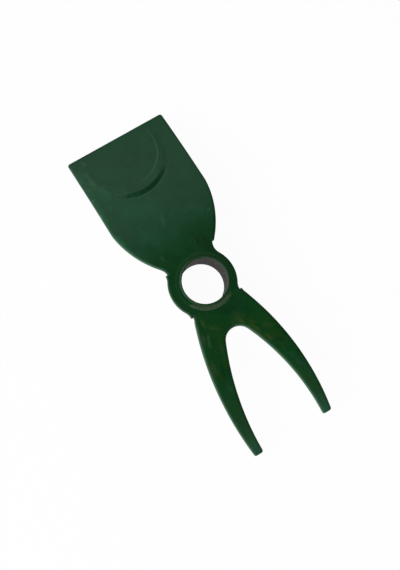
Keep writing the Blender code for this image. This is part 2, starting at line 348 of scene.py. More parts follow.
def spread(start, end):
    """Points along a straight line, about one spacing apart, both ends included."""
    steps = max(1, math.ceil(math.dist(start, end) / POINT_SPACING))
    return [tuple(point) for point in np.linspace(start, end, steps + 1)]


def fork_side(step):
    corner_y = TIP_CORNER - TINE_REACH
    inner_x = FORK_HALF - TIP_WIDTH
    fillet = [(x, -y) for x, y in neck_fillet(step, FORK_FLARE)]
    outer = arc_leaving(fillet[-1], FORK_FLARE - math.pi / 2, (FORK_HALF, corner_y))
    outer_corner = arc((FORK_HALF - TIP_CORNER, corner_y), TIP_CORNER, 0.0, -math.pi / 2)
    inner_corner = arc((inner_x + TIP_CORNER, corner_y), TIP_CORNER, -math.pi / 2, -math.pi)
    crotch = arc((0.0, -CROTCH_REACH - CROTCH_RADIUS), CROTCH_RADIUS, CROTCH_FLARE, math.pi / 2)
    inner = arc_leaving(crotch[0], CROTCH_FLARE - math.pi / 2, (inner_x, corner_y))
    tip = outer_corner[:-1] + spread(outer_corner[-1], inner_corner[0]) + inner_corner[1:]
    return fillet + outer[1:-1] + tip + inner[-2::-1] + crotch[1:]


def plate_outline():
    sides = []
    for hand, (blade_step, fork_step) in STEPS.items():
        blade = [(hand * x, y) for x, y in blade_side(blade_step)]
        boss = [(hand * x - PUNCH_SHIFT, y) for x, y in boss_side(blade_step, fork_step)]
        fork = [(hand * x, y) for x, y in fork_side(fork_step)]
        sides.append(blade + boss + fork)
    right, left = sides
    return right + left[-2:0:-1]


outline = plate_outline()
print("The outline has", len(outline), "points")

# %% [markdown]
# ## The blank
# A Blender circle is a ring of points, so it can be any flat shape: its points are put on the outline. A
# second circle, a disc, marks the hole for the eye, and Fill closes the room between the two with triangles.
# Insetting all this a few times leaves plain bands along the rim, which is rounded later. Then the disc is
# deleted, and the rest is cut by lines across and along. The triangles' own edges are dissolved again, so
# that squares are left. They give the plate points to bend and to press without moving the rim. The panel,
# which has the smallest forms, gets more lines than the rest.


# %% Selecting in code
def select_nothing():
    if bpy.context.object and bpy.context.object.mode != "OBJECT":
        bpy.ops.object.mode_set(mode="OBJECT")
    bpy.ops.object.select_all(action="DESELECT")


def select_only(piece):
    select_nothing()
    piece.select_set(True)
    bpy.context.view_layer.objects.active = piece


def enter_edit():
    bpy.ops.object.mode_set(mode="EDIT")


def edit(piece, kind="FACE"):
    """Starts edit mode on one piece, with nothing in it selected."""
    select_only(piece)
    enter_edit()
    bpy.ops.mesh.select_mode(type=kind)
    bpy.ops.mesh.select_all(action="DESELECT")


def select_whole():
    bpy.ops.mesh.select_all(action="SELECT")


def leave_edit():
    bpy.ops.object.mode_set(mode="OBJECT")


def shade_smooth(piece, angle):
    """Shades a piece smooth, but for the edges where faces meet at more than an angle in degrees."""
    select_only(piece)
    bpy.ops.object.shade_smooth_by_angle(angle=math.radians(angle))


print("Selected now:", len(bpy.context.selected_objects), "objects")

# %% Blank
RIM_BANDS = (0.0007, 0.0005, 0.0005)
GRID, FIRST_LINES, FINE_LINES = 0.00106, 0.37, 0.87
SNAP, STRAIGHT, SLIVER = 2e-5, 3e-5, 4e-5
PANEL_CENTRE = (-0.0023, 0.1147)
PANEL_RADIUS = 0.033
FINE_MARGIN = 0.003
FINE_FROM = PANEL_CENTRE[1] - PANEL_RADIUS - FINE_MARGIN
EYE_RADIUS = 0.0215
WELD_PREPARATION = 0.0012
HOLE_POINTS = 192


def cut_by_grid(shift, start):
    """Cuts all visible faces by lines one grid step apart, those across the tool only from one place on."""
    half_width = max(x for x, y in outline)
    for axis, low, high in (((1, 0, 0), -half_width, half_width), ((0, 1, 0), start, BLADE_REACH)):
        for step in range(math.ceil(low / GRID - shift), math.ceil(high / GRID - shift)):
            place = [(step + shift) * GRID * part for part in axis]
            select_whole()
            bpy.ops.mesh.bisect(plane_co=place, plane_no=axis, threshold=SNAP)


select_nothing()
bpy.ops.mesh.primitive_circle_add(vertices=len(outline), radius=BLADE_REACH, fill_type="NOTHING")
plate = bpy.context.object
plate.name = "painted_plate"
for vert, (x, y) in zip(plate.data.vertices, outline):
    vert.co = (x, y, 0.0)
edit(plate, "VERT")
hole_radius = EYE_RADIUS + WELD_PREPARATION
bpy.ops.mesh.primitive_circle_add(vertices=HOLE_POINTS, radius=hole_radius, fill_type="NGON")
select_whole()
bpy.ops.mesh.fill(use_beauty=True)
bpy.ops.mesh.select_mode(type="FACE")
select_whole()
for band in RIM_BANDS:
    bpy.ops.mesh.inset(thickness=band, use_even_offset=True)
bpy.ops.mesh.hide(unselected=True)
leave_edit()
for face in plate.data.polygons:
    face.select = len(face.vertices) == HOLE_POINTS
enter_edit()
bpy.ops.mesh.delete(type="ONLY_FACE")
cut_by_grid(FIRST_LINES, -TINE_REACH)
leave_edit()
print("Cut into", len(plate.data.polygons), "faces")

# %% Only squares
inner_faces_at = Counter(key for face in plate.data.polygons if not face.hide for key in face.edge_keys)
edit(plate, "EDGE")
leave_edit()
for edge in plate.data.edges:
    start, end = (plate.data.vertices[index].co for index in edge.vertices)
    slanting = min(abs(start.x - end.x), abs(start.y - end.y)) > STRAIGHT
    edge.select = slanting and inner_faces_at[edge.key] == 2
enter_edit()
bpy.ops.mesh.dissolve_edges(use_verts=True)
bpy.ops.mesh.select_mode(type="FACE")
leave_edit()
for face in plate.data.polygons:
    face.hide = face.hide or face.center.y < FINE_FROM
enter_edit()
cut_by_grid(FINE_LINES, FINE_FROM)
bpy.ops.mesh.reveal()
select_whole()
bpy.ops.mesh.dissolve_degenerate(threshold=SLIVER)
leave_edit()
print("The blank has", len(plate.data.polygons), "faces")

# %% [markdown]
# ## Thickness and bow
# Seen from the side the plate is flat round the eye, and bows down towards both ends, so that blade and
# tines bite into soil as the tool swings. It also thins towards the cutting edge. The blank is extruded, and
# then each point of its two faces takes its height from where it lies along the tool.

# %% Extrude
edit(plate)
select_whole()
bpy.ops.mesh.extrude_region_move(TRANSFORM_OT_translate={"value": (0, 0, PLATE_THICKNESS)})
select_whole()
bpy.ops.mesh.normals_make_consistent(inside=False)
leave_edit()
print("Extruded to", len(plate.data.polygons), "faces")


# %% Steps between two values
def share_between(low, high, value):
    """0 at one value, 1 at the other and straight between them."""
    return min(1.0, max(0.0, (value - low) / (high - low)))


def smooth_step(low, high, value):
    """The same with soft ends."""
    share = share_between(low, high, value)
    return share * share * (3 - 2 * share)


print("A quarter of the way, a smooth step is at", smooth_step(0.0, 1.0, 0.25))


# %% Bow
def bow(y):
    """Height of the plate's top and its thickness at one place along Y."""
    blade = y > 0
    length = (BLADE_REACH if blade else TINE_REACH) - BEND_REACH
    drop = BLADE_DROP if blade else TINE_DROP
    distance = max(0.0, abs(y) - BEND_REACH)
    radius = (length**2 + drop**2) / (2 * drop)
    fallen = radius - math.sqrt(radius**2 - distance**2)
    end = BLADE_EDGE_THICKNESS if blade else TIP_THICKNESS
    return PLATE_TOP - fallen, PLATE_THICKNESS + (end - PLATE_THICKNESS) * distance / length


def is_upper(place):
    """Whether a point of the plate is in the upper half of its thickness."""
    top, thickness = bow(place.y)
    return place.z > top - 0.5 * thickness


for vert in plate.data.vertices:
    top, thickness = bow(vert.co.y)
    vert.co.z = top if vert.co.z > PLATE_THICKNESS / 2 else top - thickness
print("Top of the cutting edge at", round(1000 * bow(BLADE_REACH)[0], 2), "mm")


# %% [markdown]
# ## The rolled rim
# A punch that cuts thick sheet first draws the sheet's face down with it. So the face that the punch met
# falls away softly along the whole rim, over a width of about half the thickness, before the cut begins.
# Each point near the rim sinks by a square law of its distance from the outline, and by less round the boss,
# which a second punch cut more sharply. Then the sheet tears rather than cuts, so the side wall leans out a
# little towards the face behind: its lower points are moved out, and again by less at the boss. The corner
# that is left at the cut is bevelled a little, as thick paint rounds it. How near each point is to the rim
# is kept as an attribute, which the paint reads later.


# %% Roll the rim
ROLL_DROP, ROLL_WIDTH = 0.0004, 0.0024
BOSS_END, BOSS_FADE, BOSS_ROLL = 0.0225, 0.006, 0.3


def noise_at(x, y, size, layer=0.0):
    """A noise of one feature size in metres, another one for each layer."""
    return noise.noise(Vector((x, y, layer)) / size)


def point_layer(name, values):
    """Keeps one value for each of the plate's points as an attribute."""
    layer = plate.data.attributes.new(name, "FLOAT", "POINT")
    layer.data.foreach_set("value", values)


def distance_from_outline(places):
    """Distance of each (x, y) place from the closed outline."""
    starts = np.array(outline)
    runs = np.roll(starts, -1, axis=0) - starts
    nearest = np.full(len(places), np.inf)
    for start, run in zip(starts, runs):
        away = places - start
        share = np.clip(away @ run / (run @ run), 0.0, 1.0)
        nearest = np.minimum(nearest, np.linalg.norm(away - share[:, None] * run, axis=1))
    return nearest


from_rim = distance_from_outline(np.array([vert.co[:2] for vert in plate.data.vertices]))
for vert, distance in zip(plate.data.vertices, from_rim):
    if distance < ROLL_WIDTH and is_upper(vert.co):
        share = bow(vert.co.y)[1] / PLATE_THICKNESS
        on_boss = share_between(BOSS_END + BOSS_FADE, BOSS_END, abs(vert.co.y))
        share *= 1 - (1 - BOSS_ROLL) * on_boss
        vert.co.z -= share * ROLL_DROP * (1 - distance / ROLL_WIDTH) ** 2
point_layer("rim", np.clip(1 - from_rim / ROLL_WIDTH, 0, 1))
print("Rolled the rim down by", 1000 * ROLL_DROP, "mm")


# %% Slant the cut
WALL_SLANT, BOSS_SLANT = 0.00035, 0.00008
ON_OUTLINE, LOWER_SHARE = 1e-6, 0.7
# The outline runs clockwise, so outward is a quarter turn to the left of its run.
ring = np.array(outline)
runs = np.roll(ring, -1, axis=0) - np.roll(ring, 1, axis=0)
outward = np.column_stack((-runs[:, 1], runs[:, 0])) / np.linalg.norm(runs, axis=1)[:, None]
slanted = 0
for vert in plate.data.vertices:
    top, thickness = bow(vert.co.y)
    if from_rim[vert.index] < ON_OUTLINE and vert.co.z < top - LOWER_SHARE * thickness:
        nearest = int(np.argmin(np.linalg.norm(ring - np.array(vert.co[:2]), axis=1)))
        slant = BOSS_SLANT if abs(ring[nearest][1]) < BOSS_END else WALL_SLANT
        x, y = ring[nearest] + slant * outward[nearest]
        vert.co.x = max(cad_low[0], min(cad_high[0], x))
        vert.co.y = max(cad_low[1], min(cad_high[1], y))
        slanted += 1
print("Points moved out:", slanted)


# %% Round the rim
NEAR_EYE = EYE_RADIUS + 0.003
edit(plate, "EDGE")
leave_edit()
kinds_at = {}
for face in plate.data.polygons:
    for key in face.edge_keys:
        kinds_at.setdefault(key, set()).add(abs(face.normal.z) > 0.5)
for edge in plate.data.edges:
    far = plate.data.vertices[edge.vertices[0]].co.xy.length > NEAR_EYE
    edge.select = far and len(kinds_at[edge.key]) == 2
print("Edges between a flat face and the side wall:", sum(edge.select for edge in plate.data.edges))
enter_edit()
bpy.ops.mesh.bevel(offset=EDGE_ROUNDING, segments=3, affect="EDGES", clamp_overlap=False)
leave_edit()
print("Rounded to", len(plate.data.polygons), "faces")

# %% [markdown]
# ## The eye's hole
# The hole for the collar is opened out at the top, where the weld goes. So its wall is cut level once below
# the top face, and what is under that cut is drawn in to the collar's own size.

# %% Bore the hole
TOUCHING = 1e-4
ledge = PLATE_TOP - WELD_PREPARATION
edit(plate, "FACE")
leave_edit()
for face in plate.data.polygons:
    face.select = face.center.xy.length < NEAR_EYE and abs(face.normal.z) < 0.5
enter_edit()
bpy.ops.mesh.bisect(plane_co=(0.0, 0.0, ledge), plane_no=(0, 0, 1))
leave_edit()
drawn_in = 0
for vert in plate.data.vertices:
    radius = vert.co.xy.length
    if radius < hole_radius + TOUCHING and vert.co.z < ledge + TOUCHING:
        vert.co.x *= EYE_RADIUS / radius
        vert.co.y *= EYE_RADIUS / radius
        drawn_in += 1
print("Points drawn in:", drawn_in)

# %% [markdown]
# ## The pressed panel
# Near its cutting edge the blade carries a D-shaped panel that was pressed up from behind. Its border is
# a low rib: it rises on the outside, and falls a little inside to a fine crease, where the flat of the panel
# begins. On one side the punch bit harder. There the rib is higher and its outside steep, and a shallow
# groove runs along its foot. Moving the points of both faces by a height that follows from their place
# gives this. The hollow behind is a little shallower than the panel in front is high.

# %% Sizes of the panel, with ways round it in radians
PANEL_TOP_CENTRE = (-0.0021, 0.1193)
PANEL_TOP_RADIUS = 0.0276
PANEL_RISE, HOLLOW_SHARE, PRESS_MARGIN = 0.00016, 0.7, 0.002
RIB_RISE, RIB_WALL = 0.00022, 0.0034
WALL_STRAIGHT, WALL_SOFT = 0.7, 0.3
BITE_RISE, BITE_WALL = 0.00078, 0.0038
BITE_ENDS = (math.radians(-136), math.radians(-42))
BITE_WORST = math.radians(-102)
BITE_TAPER, BITE_FADE = 0.45, (0.04, -0.2)
WANDER, WANDER_SIZE = 0.0003, 0.004
CREASE_STEP, CREASE_WIDTH = 0.00017, 0.0009
CREASE_FAINT, CREASE_GROWS, CREASE_FADES = 0.3, (-2.0, -1.3), (0.6, 0.05)
GROOVE_DEPTH, GROOVE_WIDTH, GROOVE_SHIFT = 0.0001, 0.0011, 0.0002
PIT_DEPTH, PIT_SIZE, PIT_BAND, PIT_SHIFT = 0.00022, 0.0013, 0.0018, 0.0004
PITS_AT, PITS_REACH = BITE_ENDS[0] + 0.22, (0.3, 0.1)
EDGE_FADE = (0.002, 0.032)
TINY = 1e-6
print("The rib rises by", 1000 * RIB_RISE, "mm, and by", 1000 * BITE_RISE, "mm where the punch bit hardest")


# %% Shape of the panel
def inside_border(x, y, centre, radius):
    """Distance from a border, a half circle with straight sides, positive inside it."""
    dx, dy = x - centre[0], y - centre[1]
    return radius - (abs(dx) if dy > 0 else math.hypot(dx, dy))


def inside_panel(x, y):
    return inside_border(x, y, PANEL_CENTRE, PANEL_RADIUS)


def outside_crease(x, y):
    """Distance from the fine crease round the panel's flat middle, 0 inside it."""
    return max(0.0, -inside_border(x, y, PANEL_TOP_CENTRE, PANEL_TOP_RADIUS))


def way_round_panel(x, y):
    return math.atan2(y - PANEL_CENTRE[1], x - PANEL_CENTRE[0])


def bite_at(way):
    """How hard the punch bit at one angle round the panel: 1 at its worst, 0 outside its two ends."""
    first, last = BITE_ENDS
    tapered = 1.0 - BITE_TAPER * smooth_step(BITE_WORST, last, way)
    fading = smooth_step(last + BITE_FADE[0], last + BITE_FADE[1], way)
    return smooth_step(first, BITE_WORST, way) * tapered * fading


def crease_at(way):
    """How clear the crease is at one angle: 1 on the right and lower right, faint elsewhere."""
    clear = smooth_step(*CREASE_GROWS, way) * smooth_step(*CREASE_FADES, way)
    return CREASE_FAINT + (1 - CREASE_FAINT) * clear


def panel_height(x, y):
    """Height that the press added at one place of the blade's face."""
    way = way_round_panel(x, y)
    bite = bite_at(way)
    inside = inside_panel(x, y) + WANDER * bite * noise_at(x, y, WANDER_SIZE)
    from_crease = outside_crease(x, y)
    crease_step = CREASE_STEP * crease_at(way)
    wall = RIB_WALL + bite * (BITE_WALL - RIB_WALL)
    rib = RIB_RISE + bite * (BITE_RISE - RIB_RISE)
    share = from_crease / max(TINY, from_crease + max(0.0, inside - wall))
    height = PANEL_RISE + (rib - PANEL_RISE - crease_step) * share
    height += crease_step * smooth_step(0.0, CREASE_WIDTH, from_crease)
    rise = share_between(0.0, wall, inside)
    height *= WALL_STRAIGHT * rise + WALL_SOFT * smooth_step(0.0, 1.0, rise)
    height -= GROOVE_DEPTH * bite * smooth_step(GROOVE_WIDTH, 0.0, abs(inside + GROOVE_SHIFT))
    pits = PIT_DEPTH * max(0.0, noise_at(x, y, PIT_SIZE, 3.0))
    pits *= smooth_step(PIT_BAND, 0.0, abs(inside - PIT_SHIFT))
    height -= pits * smooth_step(*PITS_REACH, abs(way - PITS_AT))
    return share_between(*EDGE_FADE, BLADE_REACH - y) * height


print("The punch bit", round(bite_at(-1.0), 2), "as hard on the lower right as at its worst")

# %% [markdown]
# ## Painted shade and highlight round the panel
# The paint is darkened on the steep wall where the punch bit, a painted shade, and made pale on what stands
# up: the crest beside the crease, and the brink above the bite, a painted highlight. Both follow the form, so
# they are worked out from it, point by point, and kept as two more attributes for the paint.

# %% Painted shade and highlight
SHADE_GAIN, SHADE_EDGE, SHADE_END = 4.0, 0.0004, (1.15, 0.85)
PATCHY_WAYS, PATCHY_NOISE = (-1.5, -1.9), (0.25, -0.05)
CREST_GROWS, CREST_FADES = (0.0, 0.0003), (0.0011, 0.0005)
BRINK_HIGHLIGHT, BRINK_GAIN = 0.45, 2.5
BRINK_GROWS, BRINK_FADES = (-0.0014, -0.0007), (0.0, -0.0005)


# Painted shade on the steep wall where the punch bit: how dark the paint is at one place.
def wall_shade_at(x, y):
    way = way_round_panel(x, y)
    bite, inside = bite_at(way), inside_panel(x, y)
    patchy = smooth_step(*PATCHY_NOISE, noise_at(x, y, PIT_SIZE, 1.0))
    wall = BITE_WALL * math.sqrt(bite) + TINY
    on_wall = smooth_step(-SHADE_EDGE, SHADE_EDGE, inside) * smooth_step(*SHADE_END, inside / wall)
    return min(1.0, SHADE_GAIN * bite) * (1 - smooth_step(*PATCHY_WAYS, way) * patchy) * on_wall


# Painted highlight on the crest and the brink: how pale the paint is at one place.
def crest_highlight_at(x, y):
    way = way_round_panel(x, y)
    from_crease, inside = outside_crease(x, y), inside_panel(x, y)
    crest = smooth_step(*CREST_GROWS, from_crease) * smooth_step(*CREST_FADES, from_crease)
    brink = smooth_step(*BRINK_GROWS, inside) * smooth_step(*BRINK_FADES, inside)
    clear = (crease_at(way) - CREASE_FAINT) / (1 - CREASE_FAINT)
    return clear * crest + BRINK_HIGHLIGHT * min(1.0, BRINK_GAIN * bite_at(way)) * brink


print("Just outside the crease the share of rubbed paint is", round(crest_highlight_at(0.0177, 0.0995), 2))

# %% Press the panel
pressed = 0
shaded_foot, highlighted = np.zeros(len(plate.data.vertices)), np.zeros(len(plate.data.vertices))
for vert in plate.data.vertices:
    x, y = vert.co.xy
    if y < FINE_FROM or inside_panel(x, y) < -PRESS_MARGIN:
        continue
    in_front = is_upper(vert.co)
    vert.co.z += panel_height(x, y) * (1.0 if in_front else HOLLOW_SHARE)
    if in_front:
        shaded_foot[vert.index], highlighted[vert.index] = wall_shade_at(x, y), crest_highlight_at(x, y)
        pressed += 1
# The painted shade on the bitten wall and the painted highlight on crest and brink go to the paint as
# attributes.
point_layer("foot", shaded_foot)
point_layer("crest", highlighted)
print("Points pressed:", pressed)

# %% Finish the plate
WALL_NORMAL = (0.15, 0.75)
shade_smooth(plate, 32)
upright = [abs(vert.normal.z) for vert in plate.data.vertices]
point_layer("side_wall", [1 - smooth_step(*WALL_NORMAL, share) for share in upright])
point_layer("upper", [float(vert.normal.z > 0) for vert in plate.data.vertices])
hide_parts("head_plate")
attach(plate, "root")
print("Plate stands from", [round(1000 * v, 2) for v in plate.bound_box[0]])

# %% [markdown]
# ## The eye's collar
# The eye is a piece of steel tube. It reaches down behind the plate, so that the handle is held over more
# than the plate's own thickness. Its mouth is a narrow rounded lip, which stands a little proud of the weld
# that was ground down beside it. A tube is a section turned round an axis: its section is drawn once, its
# corners are broken a little, as any sawn and handled edge is, and it is spun in small steps. Sawing left a
# ragged burr round part of the lower end, and the bore is not perfectly smooth.


# %% Spinning a section
def spun(name, section, steps):
    """Spins a closed section of (radius, height) points round the Z axis."""
    select_nothing()
    bpy.ops.mesh.primitive_circle_add(vertices=len(section), radius=0.01, fill_type="NOTHING")
    piece = bpy.context.object
    piece.name = name
    for vert, (radius, height) in zip(piece.data.vertices, section):
        vert.co = (radius, 0.0, height)
    edit(piece, "VERT")
    select_whole()
    bpy.ops.mesh.spin(steps=steps, angle=2 * math.pi, center=(0, 0, 0), axis=(0, 0, 1))
    select_whole()
    bpy.ops.mesh.remove_doubles(threshold=1e-6)
    bpy.ops.mesh.normals_make_consistent(inside=False)
    leave_edit()
    return piece


print("Each ring of points is a copy of the section, turned by one step")


# %% Sections with broken corners
def broken(section, radius, longest=0.0012):
    """Rounds the corners of a closed section, and splits its long sides."""
    corners, section = [], np.array(section)
    for before, point, after in zip(np.roll(section, 1, axis=0), section, np.roll(section, -1, axis=0)):
        start = point + radius * (before - point) / np.linalg.norm(before - point)
        end = point + radius * (after - point) / np.linalg.norm(after - point)
        corners += [start, 0.25 * start + 0.5 * point + 0.25 * end, end]
    points = []
    for i, start in enumerate(corners):
        end = corners[(i + 1) % len(corners)]
        parts = max(1, math.ceil(np.linalg.norm(end - start) / longest))
        points += [tuple(start + (end - start) * part / parts) for part in range(parts)]
    return points


def points_and_normals(piece):
    """Each point of a piece with the normal that it has before any point moves."""
    return [(vert, vert.normal.copy()) for vert in piece.data.vertices]


def roughened(piece, depth, size):
    """Moves each point along its normal by a noise of one depth and one size."""
    for vert, normal in points_and_normals(piece):
        vert.co += depth * noise.noise(vert.co / size) * normal


print("A triangle with broken corners has", len(broken([(0, 0), (1, 0), (0, 1)], 0.1, 1.0)), "points")

# %% Collar
BORE_RADIUS = 0.0176
COLLAR_RADIUS = 0.0212
COLLAR_LENGTH = 0.026
COLLAR_BEVEL = 0.0019
COLLAR_CORNER, COLLAR_TURNS = 0.0001, 240
COLLAR_ROUGHNESS, COLLAR_LUMPS = 0.00005, 0.006
BURR_WAY, BURR_REACH = math.radians(165), (0.4, 1.1)
BURR_HEIGHT, BURR_BAND = 0.0008, 0.0004
BURR_DEPTH, BURR_TEETH, BURR_SHARE = 0.0004, 0.0016, 0.25

# The lip is given as steps in mm, out from the bore and down from the top.
LIP = [(0.0, 0.7), (0.55, 0.1), (0.85, 0.0), (1.1, 0.06), (1.5, 0.4), (1.85, 0.5)]
collar_section = [(BORE_RADIUS + MM * out, COLLAR_LENGTH - MM * down) for out, down in LIP] + [
    (COLLAR_RADIUS, COLLAR_LENGTH - COLLAR_BEVEL),
    (COLLAR_RADIUS, 0.0005),
    (COLLAR_RADIUS - 0.0005, 0.0),
    (BORE_RADIUS + 0.0003, 0.0),
    (BORE_RADIUS, 0.0003),
]
collar = spun("eye_tube", broken(collar_section, COLLAR_CORNER), COLLAR_TURNS)
roughened(collar, COLLAR_ROUGHNESS, COLLAR_LUMPS)
for vert in collar.data.vertices:
    x, y, z = vert.co
    radius = math.hypot(x, y)
    if z < BURR_HEIGHT and radius < BORE_RADIUS + BURR_BAND:
        off = abs((math.atan2(y, x) - BURR_WAY + math.pi) % (2 * math.pi) - math.pi)
        teeth = max(0.0, noise_at(x, y, BURR_TEETH) + BURR_SHARE)
        pull = BURR_DEPTH * teeth * (1 - smooth_step(*BURR_REACH, off)) / radius
        vert.co.x -= pull * x
        vert.co.y -= pull * y
    vert.co.z = max(0.0, min(COLLAR_LENGTH, vert.co.z))
shade_smooth(collar, 50)
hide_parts("eye_collar")
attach(collar, "root")
print("Collar has", len(collar.data.polygons), "faces")

# %% [markdown]
# ## The two welds
# The tube is welded to the plate on both faces. The seen one was ground almost flush, and only on the side
# of the fork are some of its ripples left. The one behind was left as it came from the torch: a fillet of
# small overlapping ripples. Each is a section spun round the eye, then moved in or out by a wave that runs
# along the seam.

# %% Dressed weld
BEAD_INNER = (0.0196, 0.02548)
BEAD_OUTER = (0.0228, 0.02529)
BEAD_ROOT = (0.02135, 0.0241)
BEAD_CROWN, BEAD_TOP, BEAD_TURNS = 0.00005, 0.0252, 300
COARSE_WAY, COARSE_REACH = Vector((-0.19, -0.98, 0.0)), (0.2, 0.8)
COARSE_RISE, COARSE_WAVE, COARSE_RIPPLES = 0.00016, 0.00007, 62
WAVE_WANDER, WAVE_SIZE = 3, 0.007
GROUND_GRAIN, COARSE_GRAIN, GRAIN_SIZE = 0.00002, 0.00006, 0.002


def crowned(start, end, crown, count=6):
    """Points from start to end, both left out, raised between them to the left of the way."""
    run = np.subtract(end, start)
    side = np.array((-run[1], run[0])) / np.hypot(*run)
    shares = np.linspace(0.0, 1.0, count + 1)[1:-1]
    return [tuple(start + share * run + 4 * crown * share * (1 - share) * side) for share in shares]


bead_section = [BEAD_INNER] + crowned(BEAD_INNER, BEAD_OUTER, BEAD_CROWN) + [BEAD_OUTER, BEAD_ROOT]
upper_weld = spun("dressed_weld", bead_section, BEAD_TURNS)
for vert in upper_weld.data.vertices:
    x, y, z = vert.co
    if z > BEAD_TOP:
        coarse = smooth_step(*COARSE_REACH, Vector((x, y, 0.0)).normalized().dot(COARSE_WAY))
        across_bead = (math.hypot(x, y) - BEAD_INNER[0]) / (BEAD_OUTER[0] - BEAD_INNER[0])
        crown = max(0.0, 4 * across_bead * (1 - across_bead))
        wander = WAVE_WANDER * noise_at(x, y, WAVE_SIZE)
        wave = math.sin(COARSE_RIPPLES * math.atan2(y, x) + wander)
        vert.co.z += coarse * crown * (COARSE_RISE + COARSE_WAVE * wave)
        vert.co.z += (GROUND_GRAIN + COARSE_GRAIN * coarse) * noise.noise(vert.co / GRAIN_SIZE)
shade_smooth(upper_weld, 40)
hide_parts("upper_weld_bead")
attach(upper_weld, "root")
print("Dressed weld has", len(upper_weld.data.polygons), "faces")

# %% Rippled weld
WELD_LEG, WELD_CROWN, WELD_TURNS, OVERLAP = 0.0041, 0.0004, 720, 0.0001
RIPPLES, RIPPLE_BEND, RIPPLE_HEIGHT, RIPPLE_POWER = 66, 0.035, 0.00026, 0.6
RIPPLE_WANDER, RIPPLE_WANDER_SIZE = 0.8, 0.012
FILLET_GRAIN = 0.00008
root_radius = EYE_RADIUS - 0.0004
plate_under = PLATE_TOP - PLATE_THICKNESS + OVERLAP
toe = (root_radius + WELD_LEG, plate_under)
heel = (root_radius, plate_under - WELD_LEG)
fillet_section = [(root_radius, plate_under), toe] + crowned(toe, heel, WELD_CROWN, 10) + [heel]
lower_weld = spun("rippled_weld", fillet_section, WELD_TURNS)
for vert, normal in points_and_normals(lower_weld):
    x, y, z = vert.co
    radius = math.hypot(x, y)
    if radius < EYE_RADIUS or z > plate_under - OVERLAP / 2:
        continue
    share = (radius - EYE_RADIUS) / WELD_LEG
    bulge = 4 * share * (1 - share)
    wander = RIPPLE_WANDER * noise_at(x, y, RIPPLE_WANDER_SIZE, 1.0)
    phase = (RIPPLES * (math.atan2(y, x) + RIPPLE_BEND * bulge) / (2 * math.pi) + wander) % 1.0
    vert.co += (RIPPLE_HEIGHT * (1 - phase) ** RIPPLE_POWER - RIPPLE_HEIGHT / 2) * bulge * normal
    vert.co += FILLET_GRAIN * noise.noise(vert.co / GRAIN_SIZE) * normal
shade_smooth(lower_weld, 60)
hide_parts("lower_weld_bead")
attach(lower_weld, "root")
print("Rippled weld has", len(lower_weld.data.polygons), "faces")

# %% [markdown]
# ## Green paint
# The plate was dipped or sprayed in glossy dark green paint. Nothing on it is quite even: the paint is a
# little thicker here and there, its gloss changes, and it carries smears of rust-brown dust, rubbed streaks
# and nicks. Its colour also carries painted light: paler greens and pale smears for the sheen on the bowed
# blade and tine tips, and dark smears for the shade where the paint mirrors the dark board. A noise texture
# on Object coordinates gives what is everywhere. A smear is an ellipse at one place: a Mapping node turns and
# shrinks it to a unit circle, and a noise breaks its edge. The attributes that the plate keeps tell its paint
# where the side wall, the rim, the painted shade at the panel's bitten wall and the painted highlight on its
# crest are. The side wall's paint is paler, a painted highlight for the light it catches, but not round the
# boss, where the cut is steep.


# %% Node helpers for finishes
SMEAR_HEIGHT, SMEAR_DEPTH, SMEAR_SOFTNESS = 0.024, 0.02, 0.95


def new_finish(name, colour, roughness, metallic=0.0):
    finish = bpy.data.materials.new(name)
    finish.use_nodes = True
    shader = finish.node_tree.nodes["Principled BSDF"]
    put_all(shader, {"Base Color": opaque(colour), "Roughness": roughness, "Metallic": metallic})
    return finish, shader, add_node(shader, "ShaderNodeTexCoord").outputs["Object"]


def give_finish(piece, finish):
    piece.data.materials.clear()
    piece.data.materials.append(finish)
    print(finish.name, "has", len(finish.node_tree.nodes), "nodes")


def opaque(colour):
    """A colour with full alpha, as colour sockets want it. A socket stays what it is."""
    return colour if is_socket(colour) else (*colour, 1.0)


def noise_of(place, size, detail=2.0, stretch=(1.0, 1.0, 1.0), turn=0.0):
    """A noise of one feature size in metres. It can be stretched along its own turned axes."""
    mapping = add_node(place, "ShaderNodeMapping", vector_type="POINT")
    put_all(mapping, {"Vector": place, "Rotation": (0.0, 0.0, turn), "Scale": stretch})
    texture = add_node(place, "ShaderNodeTexNoise")
    put_all(texture, {"Vector": mapping.outputs["Vector"], "Scale": 1.0 / size, "Detail": detail})
    return texture.outputs["Fac"]


def patches(place, size, low, high, to_low=0.0, to_high=1.0, smooth=True, detail=3.0, turn=0.0):
    """A noise of one feature size, stretched from its range low to high to another range."""
    return map_range(noise_of(place, size, detail, turn=turn), low, high, to_low, to_high, smooth)


def smear(place, edge_noise, start_x, start_y, end_x, end_y, half_width):
    """Strength of one soft smear between two places in mm, its edge broken by a noise."""
    start, end = MM * Vector((start_x, start_y)), MM * Vector((end_x, end_y))
    run = end - start
    mapping = add_node(place, "ShaderNodeMapping", vector_type="TEXTURE")
    put_all(mapping, {
        "Vector": place,
        "Location": (*(0.5 * (start + end)), SMEAR_HEIGHT),
        "Rotation": (0.0, 0.0, math.atan2(run.y, run.x)),
        "Scale": (run.length / 2 + MM * half_width, MM * half_width, SMEAR_DEPTH),
    })
    length = vector_maths("LENGTH", mapping.outputs["Vector"]).outputs["Value"]
    return map_range(maths("ADD", length, edge_noise), 1.0 - SMEAR_SOFTNESS, 1.0, 1.0, 0.0)


def attribute_of(place, name):
    return add_node(place, "ShaderNodeAttribute", attribute_name=name).outputs["Fac"]


def layered(colour, layers):
    """Lays more colours over a first one, each by its own share."""
    for share, over in layers:
        colour = mixed("RGBA", share, opaque(colour), opaque(over))
    return colour


def bump(shader, layers):
    """Chains bump nodes, each a height with a depth in metres, into the shader's normal."""
    normal = shader.inputs["Normal"]
    for height, depth in layers:
        node = add_node(shader, "ShaderNodeBump")
        put_all(node, {"Strength": 1.0, "Distance": depth, "Height": height})
        if normal.is_linked:
            link(normal.links[0].from_socket, node.inputs["Normal"])
        link(node.outputs["Normal"], normal)


print("Ready to make finishes")

